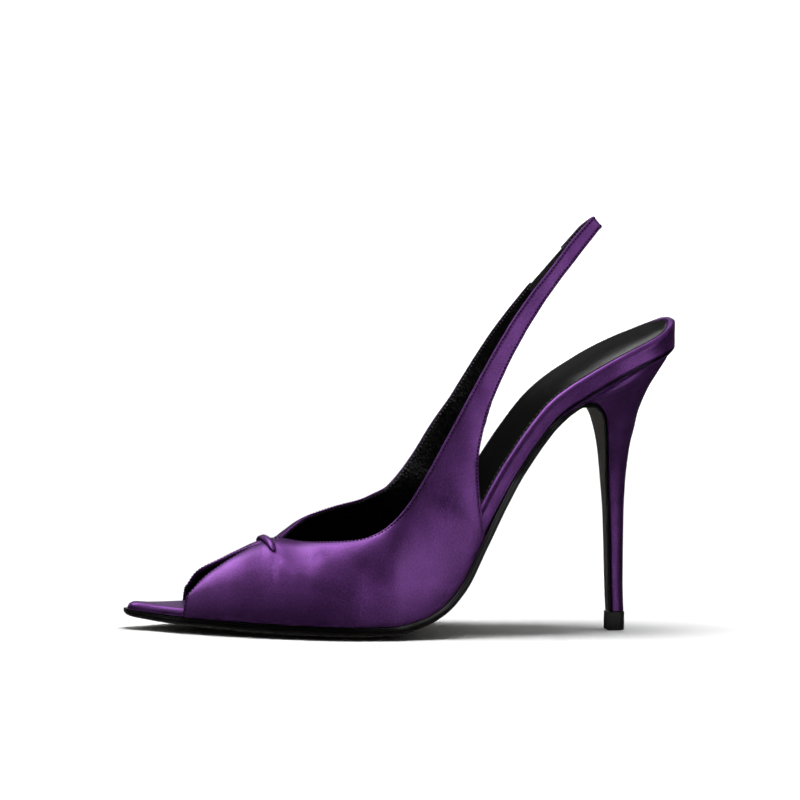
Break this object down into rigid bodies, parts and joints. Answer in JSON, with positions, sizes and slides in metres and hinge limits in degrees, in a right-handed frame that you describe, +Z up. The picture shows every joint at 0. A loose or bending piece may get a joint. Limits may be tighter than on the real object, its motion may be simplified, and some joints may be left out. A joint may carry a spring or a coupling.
{
  "type": "peep toe slingback pump",
  "caption": "Women's satin slingback pump with a peep toe, hollow upper, arched sole and slim covered stiletto heel.",
  "frame": {"origin": "on the floor under the middle of the shoe's bounding box", "axes": "+Z up, toe towards -X, heel towards +X, outer (lateral) side towards -Y, inner (medial) side towards +Y"},
  "size_m": [0.2089, 0.0761, 0.1581],
  "materials": {
    "upper_satin": "violet silk satin with a soft sheen, black lined",
    "rand_satin": "violet satin wrapped round the insole board",
    "heel_satin": "violet satin stretched over the heel",
    "sock": "smooth black sock leather",
    "outsole": "black sole leather with an inked edge",
    "elastic": "black woven elastic",
    "top_piece": "hard black rubber"
  },
  "bodies": {
    "root": {"outsole": "outsole", "insole": "rand_satin", "sock_lining": "sock", "upper": "upper_satin", "vamp_band": "upper_satin", "elastic_insert": "elastic", "heel": "heel_satin", "heel_top_piece": "top_piece"}
  },
  "joints": []
}
